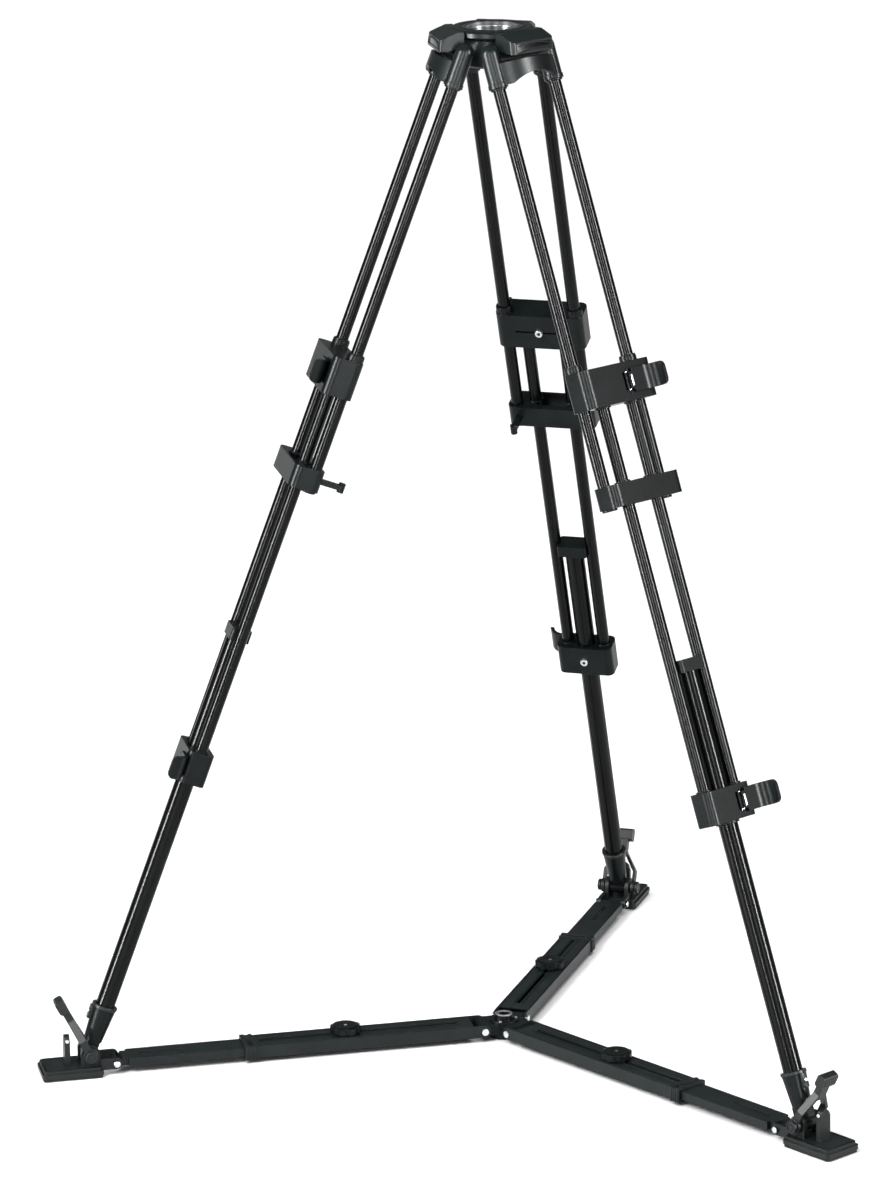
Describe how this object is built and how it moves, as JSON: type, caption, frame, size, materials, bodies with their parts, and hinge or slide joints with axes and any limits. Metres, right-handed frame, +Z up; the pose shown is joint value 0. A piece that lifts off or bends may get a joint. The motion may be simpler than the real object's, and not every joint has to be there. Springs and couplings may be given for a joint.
{
  "type": "tripod",
  "caption": "Black twin-tube two-stage video tripod with an empty half-ball bowl, cam-lever clamps, flat feet with levers and a telescopic ground spreader.",
  "frame": {"origin": "floor level under the centre of the bowl, on the underside of the spreader hub", "axes": "+Z up, +Y towards leg 1; legs 2 and 3 follow at 120 and 240 degrees about +Z; rest is both leg stages fully drawn out, legs spread 21 degrees"},
  "size_m": [1.2228, 1.0605, 1.5],
  "materials": {
    "black_anodised": "satin black anodised tube",
    "black_casting": "fine textured black casting",
    "black_plastic": "moulded glass-filled plastic",
    "grey_plastic": "moulded grey plastic",
    "machined_aluminium": "bright turned aluminium",
    "steel_pins": "plain steel",
    "sole_rubber": "moulded rubber"
  },
  "bodies": {
    "crown": {"crown_casting": "black_casting", "bowl_seat": "machined_aluminium", "crown_hinge_pins": "steel_pins"},
    "hub": {"spreader_hub": "black_plastic", "hub_hinge_pins": "steel_pins"},
    "leg_1_upper": {"leg_1_yoke": "black_casting", "leg_1_upper_tubes": "black_anodised", "leg_1_bridge": "black_plastic"},
    "leg_1_middle": {"leg_1_upper_clamp": "black_plastic", "leg_1_middle_tubes": "black_anodised", "leg_1_lower_clamp": "black_plastic", "leg_1_clamp_pins": "steel_pins"},
    "leg_1_upper_lever_body": {"leg_1_upper_lever": "black_plastic"},
    "leg_1_lower_lever_body": {"leg_1_lower_lever": "black_plastic"},
    "leg_1_lower": {"leg_1_lower_tube": "black_anodised", "leg_1_slide_cap": "black_plastic", "leg_1_ankle": "black_plastic"},
    "foot_1": {"foot_1_base": "black_plastic", "foot_1_pad": "sole_rubber"},
    "foot_1_lever_body": {"foot_1_lever": "grey_plastic"},
    "arm_1_inner": {"arm_1_channel": "black_plastic"},
    "arm_1_outer": {"arm_1_slider": "black_plastic"},
    "arm_1_knob_body": {"arm_1_knob": "black_plastic"},
    "leg_2_upper": {"leg_2_yoke": "black_casting", "leg_2_upper_tubes": "black_anodised", "leg_2_bridge": "black_plastic"},
    "leg_2_middle": {"leg_2_upper_clamp": "black_plastic", "leg_2_middle_tubes": "black_anodised", "leg_2_lower_clamp": "black_plastic", "leg_2_clamp_pins": "steel_pins"},
    "leg_2_upper_lever_body": {"leg_2_upper_lever": "black_plastic"},
    "leg_2_lower_lever_body": {"leg_2_lower_lever": "black_plastic"},
    "leg_2_lower": {"leg_2_lower_tube": "black_anodised", "leg_2_slide_cap": "black_plastic", "leg_2_ankle": "black_plastic"},
    "foot_2": {"foot_2_base": "black_plastic", "foot_2_pad": "sole_rubber"},
    "foot_2_lever_body": {"foot_2_lever": "grey_plastic"},
    "arm_2_inner": {"arm_2_channel": "black_plastic"},
    "arm_2_outer": {"arm_2_slider": "black_plastic"},
    "arm_2_knob_body": {"arm_2_knob": "black_plastic"},
    "leg_3_upper": {"leg_3_yoke": "black_casting", "leg_3_upper_tubes": "black_anodised", "leg_3_bridge": "black_plastic"},
    "leg_3_middle": {"leg_3_upper_clamp": "black_plastic", "leg_3_middle_tubes": "black_anodised", "leg_3_lower_clamp": "black_plastic", "leg_3_clamp_pins": "steel_pins"},
    "leg_3_upper_lever_body": {"leg_3_upper_lever": "black_plastic"},
    "leg_3_lower_lever_body": {"leg_3_lower_lever": "black_plastic"},
    "leg_3_lower": {"leg_3_lower_tube": "black_anodised", "leg_3_slide_cap": "black_plastic", "leg_3_ankle": "black_plastic"},
    "foot_3": {"foot_3_base": "black_plastic", "foot_3_pad": "sole_rubber"},
    "foot_3_lever_body": {"foot_3_lever": "grey_plastic"},
    "arm_3_inner": {"arm_3_channel": "black_plastic"},
    "arm_3_outer": {"arm_3_slider": "black_plastic"},
    "arm_3_knob_body": {"arm_3_knob": "black_plastic"}
  },
  "joints": [
    {"name": "hub_lift", "type": "slide", "parent": "crown", "child": "hub", "axis": [0, 0, 1], "range_m": [-0.066, 0.0505]},
    {"name": "leg_1_swing", "type": "hinge", "parent": "crown", "child": "leg_1_upper", "pos_m": [0, 0.05533, 1.46218], "axis": [1, 0, 0], "range_deg": [-6.5, 5]},
    {"name": "leg_1_middle_slide", "type": "slide", "parent": "leg_1_upper", "child": "leg_1_middle", "axis": [0, 0.3584, -0.9336], "range_m": [-0.38, 0]},
    {"name": "leg_1_lower_slide", "type": "slide", "parent": "leg_1_middle", "child": "leg_1_lower", "axis": [0, 0.3584, -0.9336], "range_m": [-0.345, 0]},
    {"name": "leg_1_upper_lever_turn", "type": "hinge", "parent": "leg_1_middle", "child": "leg_1_upper_lever_body", "pos_m": [-0.015, 0.25364, 1.0279], "axis": [0, 0.3584, -0.9336], "range_deg": [0, 90]},
    {"name": "leg_1_lower_lever_turn", "type": "hinge", "parent": "leg_1_middle", "child": "leg_1_lower_lever_body", "pos_m": [-0.019, 0.47027, 0.46355], "axis": [0, 0.3584, -0.9336], "range_deg": [0, 90]},
    {"name": "foot_1_tilt", "type": "hinge", "parent": "leg_1_lower", "child": "foot_1", "pos_m": [0, 0.61782, 0.03174], "axis": [1, 0, 0], "range_deg": [-5.2, 6.7]},
    {"name": "foot_1_lever_turn", "type": "hinge", "parent": "foot_1", "child": "foot_1_lever_body", "pos_m": [0, 0.61782, 0.03174], "axis": [-1, 0, 0], "range_deg": [0, 50]},
    {"name": "arm_1_fold", "type": "hinge", "parent": "hub", "child": "arm_1_inner", "pos_m": [0, 0.034, 0.016], "axis": [1, 0, 0], "range_deg": [0, 6]},
    {"name": "arm_1_slide", "type": "slide", "parent": "arm_1_inner", "child": "arm_1_outer", "axis": [0, 1, 0], "range_m": [-0.164, 0.1265]},
    {"name": "arm_1_knob_turn", "type": "hinge", "parent": "arm_1_outer", "child": "arm_1_knob_body", "pos_m": [0, 0.238, 0.03], "axis": [0, 0, 1], "range_deg": [0, 270]},
    {"name": "leg_2_swing", "type": "hinge", "parent": "crown", "child": "leg_2_upper", "pos_m": [-0.04792, -0.02767, 1.46218], "axis": [-0.5, 0.866, 0], "range_deg": [-6.6, 5.1]},
    {"name": "leg_2_middle_slide", "type": "slide", "parent": "leg_2_upper", "child": "leg_2_middle", "axis": [-0.3104, -0.1792, -0.9336], "range_m": [-0.38, 0]},
    {"name": "leg_2_lower_slide", "type": "slide", "parent": "leg_2_middle", "child": "leg_2_lower", "axis": [-0.3104, -0.1792, -0.9336], "range_m": [-0.345, 0]},
    {"name": "leg_2_upper_lever_turn", "type": "hinge", "parent": "leg_2_middle", "child": "leg_2_upper_lever_body", "pos_m": [-0.21216, -0.13981, 1.0279], "axis": [-0.3104, -0.1792, -0.9336], "range_deg": [0, 90]},
    {"name": "leg_2_lower_lever_turn", "type": "hinge", "parent": "leg_2_middle", "child": "leg_2_lower_lever_body", "pos_m": [-0.39777, -0.25159, 0.46355], "axis": [-0.3104, -0.1792, -0.9336], "range_deg": [0, 90]},
    {"name": "foot_2_tilt", "type": "hinge", "parent": "leg_2_lower", "child": "foot_2", "pos_m": [-0.53504, -0.30891, 0.03174], "axis": [-0.5, 0.866, 0], "range_deg": [-5.2, 6.7]},
    {"name": "foot_2_lever_turn", "type": "hinge", "parent": "foot_2", "child": "foot_2_lever_body", "pos_m": [-0.53504, -0.30891, 0.03174], "axis": [0.5, -0.866, 0], "range_deg": [0, 50]},
    {"name": "arm_2_fold", "type": "hinge", "parent": "hub", "child": "arm_2_inner", "pos_m": [-0.02944, -0.017, 0.016], "axis": [-0.5, 0.866, 0], "range_deg": [0, 6]},
    {"name": "arm_2_slide", "type": "slide", "parent": "arm_2_inner", "child": "arm_2_outer", "axis": [-0.866, -0.5, 0], "range_m": [-0.164, 0.1265]},
    {"name": "arm_2_knob_turn", "type": "hinge", "parent": "arm_2_outer", "child": "arm_2_knob_body", "pos_m": [-0.20611, -0.119, 0.03], "axis": [0, 0, 1], "range_deg": [0, 270]},
    {"name": "leg_3_swing", "type": "hinge", "parent": "crown", "child": "leg_3_upper", "pos_m": [0.04792, -0.02767, 1.46218], "axis": [-0.5, -0.866, 0], "range_deg": [-6.6, 5.1]},
    {"name": "leg_3_middle_slide", "type": "slide", "parent": "leg_3_upper", "child": "leg_3_middle", "axis": [0.3104, -0.1792, -0.9336], "range_m": [-0.38, 0]},
    {"name": "leg_3_lower_slide", "type": "slide", "parent": "leg_3_middle", "child": "leg_3_lower", "axis": [0.3104, -0.1792, -0.9336], "range_m": [-0.345, 0]},
    {"name": "leg_3_upper_lever_turn", "type": "hinge", "parent": "leg_3_middle", "child": "leg_3_upper_lever_body", "pos_m": [0.22716, -0.11383, 1.0279], "axis": [0.3104, -0.1792, -0.9336], "range_deg": [0, 90]},
    {"name": "leg_3_lower_lever_turn", "type": "hinge", "parent": "leg_3_middle", "child": "leg_3_lower_lever_body", "pos_m": [0.41677, -0.21868, 0.46355], "axis": [0.3104, -0.1792, -0.9336], "range_deg": [0, 90]},
    {"name": "foot_3_tilt", "type": "hinge", "parent": "leg_3_lower", "child": "foot_3", "pos_m": [0.53504, -0.30891, 0.03174], "axis": [-0.5, -0.866, 0], "range_deg": [-5.2, 6.7]},
    {"name": "foot_3_lever_turn", "type": "hinge", "parent": "foot_3", "child": "foot_3_lever_body", "pos_m": [0.53504, -0.30891, 0.03174], "axis": [0.5, 0.866, 0], "range_deg": [0, 50]},
    {"name": "arm_3_fold", "type": "hinge", "parent": "hub", "child": "arm_3_inner", "pos_m": [0.02944, -0.017, 0.016], "axis": [-0.5, -0.866, 0], "range_deg": [0, 6]},
    {"name": "arm_3_slide", "type": "slide", "parent": "arm_3_inner", "child": "arm_3_outer", "axis": [0.866, -0.5, 0], "range_m": [-0.164, 0.1265]},
    {"name": "arm_3_knob_turn", "type": "hinge", "parent": "arm_3_outer", "child": "arm_3_knob_body", "pos_m": [0.20611, -0.119, 0.03], "axis": [0, 0, 1], "range_deg": [0, 270]}
  ],
  "couplings": [
    {"joint": "foot_1_tilt", "follows": "leg_1_swing", "ratio": -1},
    {"joint": "arm_1_slide", "follows": "leg_1_swing", "m_per_rad": 1.4305},
    {"joint": "leg_2_swing", "follows": "leg_1_swing", "ratio": 1},
    {"joint": "foot_2_tilt", "follows": "leg_1_swing", "ratio": -1},
    {"joint": "arm_2_slide", "follows": "leg_1_swing", "m_per_rad": 1.4305},
    {"joint": "leg_3_swing", "follows": "leg_1_swing", "ratio": 1},
    {"joint": "foot_3_tilt", "follows": "leg_1_swing", "ratio": -1},
    {"joint": "arm_3_slide", "follows": "leg_1_swing", "m_per_rad": 1.4305},
    {"joint": "hub_lift", "follows": "leg_1_swing", "m_per_rad": 0.5625}
  ]
}
